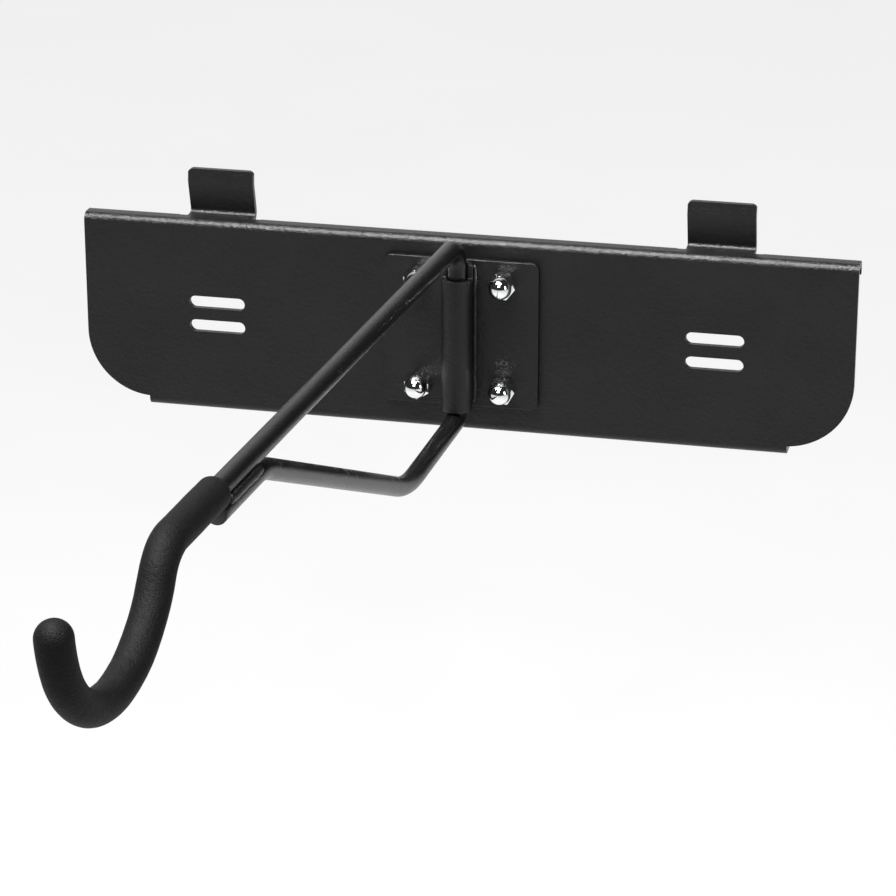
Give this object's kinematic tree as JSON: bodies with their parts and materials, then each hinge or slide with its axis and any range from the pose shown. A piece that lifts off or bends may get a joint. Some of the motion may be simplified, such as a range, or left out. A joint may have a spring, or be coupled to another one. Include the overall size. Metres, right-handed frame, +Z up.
{
  "type": "bicycle wall rack",
  "caption": "Swinging padded hook on a folded steel back plate that hooks into a wall track and holds a bicycle by its wheel.",
  "frame": {"origin": "middle of the rear contact face, the flat of the folded top return that lies on the wall", "axes": "+X to the right of the plate seen from the room, +Y into the wall, +Z up"},
  "size_m": [0.406, 0.5543, 0.1285],
  "materials": {
    "powder_coated_steel": "satin black powder coat",
    "zinc_plated_steel": "bright zinc",
    "chrome_plated_steel": "polished",
    "foam_rubber": "matt"
  },
  "bodies": {
    "wall_plate": {"back_plate": "powder_coated_steel", "hinge_plate": "powder_coated_steel", "hinge_tube": "powder_coated_steel", "tube_weld_left": "powder_coated_steel", "tube_weld_right": "powder_coated_steel", "carriage_bolt_upper_left": "zinc_plated_steel", "carriage_bolt_upper_right": "zinc_plated_steel", "carriage_bolt_lower_left": "zinc_plated_steel", "carriage_bolt_lower_right": "zinc_plated_steel", "acorn_nut_upper_left": "chrome_plated_steel", "acorn_nut_upper_right": "chrome_plated_steel", "acorn_nut_lower_left": "chrome_plated_steel", "acorn_nut_lower_right": "chrome_plated_steel"},
    "swing_arm": {"hook_rod": "powder_coated_steel", "strut_weld_left": "powder_coated_steel", "strut_weld_right": "powder_coated_steel", "foam_sleeve": "foam_rubber"}
  },
  "joints": [
    {"name": "arm_swivel", "type": "hinge", "parent": "wall_plate", "child": "swing_arm", "pos_m": [0, -0.0244, -0.04], "axis": [0, 0, 1], "range_deg": [-86, 94]}
  ]
}
